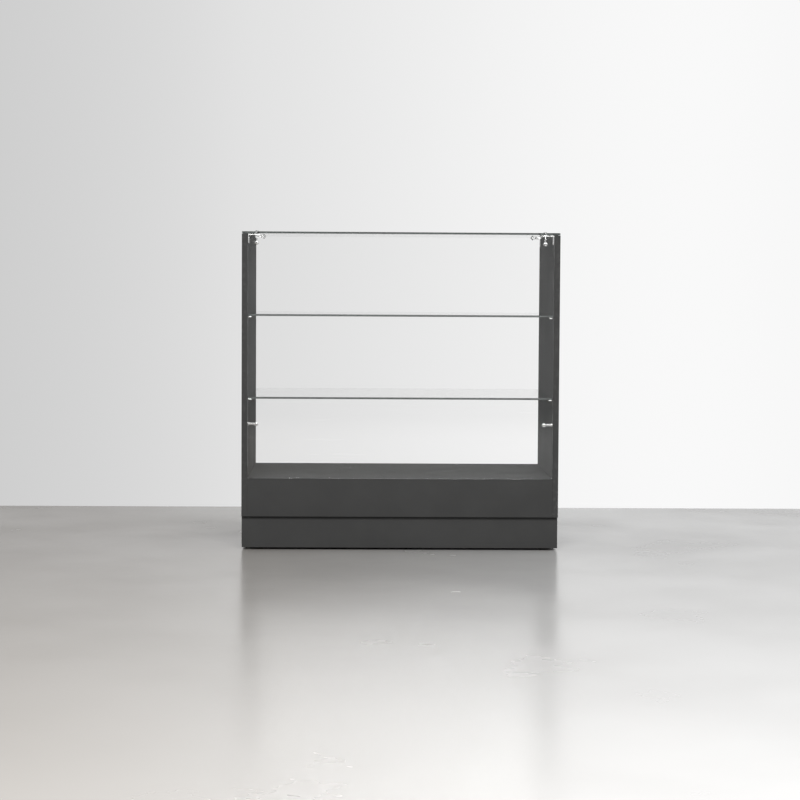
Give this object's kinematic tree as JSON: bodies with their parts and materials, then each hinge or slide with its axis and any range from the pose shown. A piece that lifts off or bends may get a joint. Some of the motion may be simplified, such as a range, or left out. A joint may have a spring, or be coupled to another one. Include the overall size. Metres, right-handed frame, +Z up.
{
  "type": "glazed shop counter",
  "caption": "Floor-standing display counter: dark board base and side panels, glass front and top, glass shelves, open at the back.",
  "frame": {"origin": "centre of the footprint, on the floor", "axes": "+X to the right as a customer faces the front, +Y to the open back, +Z up"},
  "size_m": [1, 0.6, 1.0083],
  "materials": {
    "melamine": "matte charcoal melamine-faced board with a matching edge band",
    "glass": "clear toughened float glass with ground and polished edges",
    "nickel": "polished nickel plate",
    "rubber": "matte black rubber",
    "foot_plastic": "matte black moulded plastic",
    "birch": "raw birch"
  },
  "bodies": {
    "root": {"side_panel_left": "melamine", "side_panel_right": "melamine", "deck_board": "melamine", "bottom_board": "melamine", "front_board": "melamine", "rear_board": "melamine", "plinth_front": "melamine", "plinth_rear": "melamine", "plinth_side_left": "melamine", "plinth_side_right": "melamine", "plinth_stretcher": "melamine", "deck_dowel_front_left": "birch", "foot_block_front_left": "birch", "top_front_bracket_left": "nickel", "top_glass_screw_front_left": "nickel", "wall_screw_top_front_left": "nickel", "shelf_pin_lower_front_left": "nickel", "shelf_pin_upper_front_left": "nickel", "deck_dowel_rear_left": "birch", "foot_block_rear_left": "birch", "top_rear_bracket_left": "nickel", "top_glass_screw_rear_left": "nickel", "wall_screw_top_rear_left": "nickel", "shelf_pin_lower_rear_left": "nickel", "shelf_pin_upper_rear_left": "nickel", "front_glass_screw_top_left": "nickel", "front_glass_screw_low_left": "nickel", "low_front_bracket_left": "nickel", "wall_screw_low_left": "nickel", "glass_top_seal_left": "rubber", "setting_pad_left": "rubber", "deck_dowel_front_right": "birch", "foot_block_front_right": "birch", "top_front_bracket_right": "nickel", "top_glass_screw_front_right": "nickel", "wall_screw_top_front_right": "nickel", "shelf_pin_lower_front_right": "nickel", "shelf_pin_upper_front_right": "nickel", "deck_dowel_rear_right": "birch", "foot_block_rear_right": "birch", "top_rear_bracket_right": "nickel", "top_glass_screw_rear_right": "nickel", "wall_screw_top_rear_right": "nickel", "shelf_pin_lower_rear_right": "nickel", "shelf_pin_upper_rear_right": "nickel", "front_glass_screw_top_right": "nickel", "front_glass_screw_low_right": "nickel", "low_front_bracket_right": "nickel", "wall_screw_low_right": "nickel", "glass_top_seal_right": "rubber", "setting_pad_right": "rubber", "glass_top": "glass", "front_glass": "glass"},
    "shelf_lower_body": {"shelf_lower": "glass"},
    "shelf_upper_body": {"shelf_upper": "glass"},
    "levelling_foot_front_left_body": {"levelling_foot_front_left": "foot_plastic"},
    "levelling_foot_front_right_body": {"levelling_foot_front_right": "foot_plastic"},
    "levelling_foot_rear_left_body": {"levelling_foot_rear_left": "foot_plastic"},
    "levelling_foot_rear_right_body": {"levelling_foot_rear_right": "foot_plastic"}
  },
  "joints": [
    {"name": "shelf_lower_slide", "type": "slide", "parent": "root", "child": "shelf_lower_body", "axis": [0, 1, 0], "range_m": [0, 0.23]},
    {"name": "shelf_upper_slide", "type": "slide", "parent": "root", "child": "shelf_upper_body", "axis": [0, 1, 0], "range_m": [0, 0.23]},
    {"name": "foot_front_left_screw", "type": "slide", "parent": "root", "child": "levelling_foot_front_left_body", "axis": [0, 0, -1], "range_m": [0, 0.015]},
    {"name": "foot_front_right_screw", "type": "slide", "parent": "root", "child": "levelling_foot_front_right_body", "axis": [0, 0, -1], "range_m": [0, 0.015]},
    {"name": "foot_rear_left_screw", "type": "slide", "parent": "root", "child": "levelling_foot_rear_left_body", "axis": [0, 0, -1], "range_m": [0, 0.015]},
    {"name": "foot_rear_right_screw", "type": "slide", "parent": "root", "child": "levelling_foot_rear_right_body", "axis": [0, 0, -1], "range_m": [0, 0.015]}
  ]
}
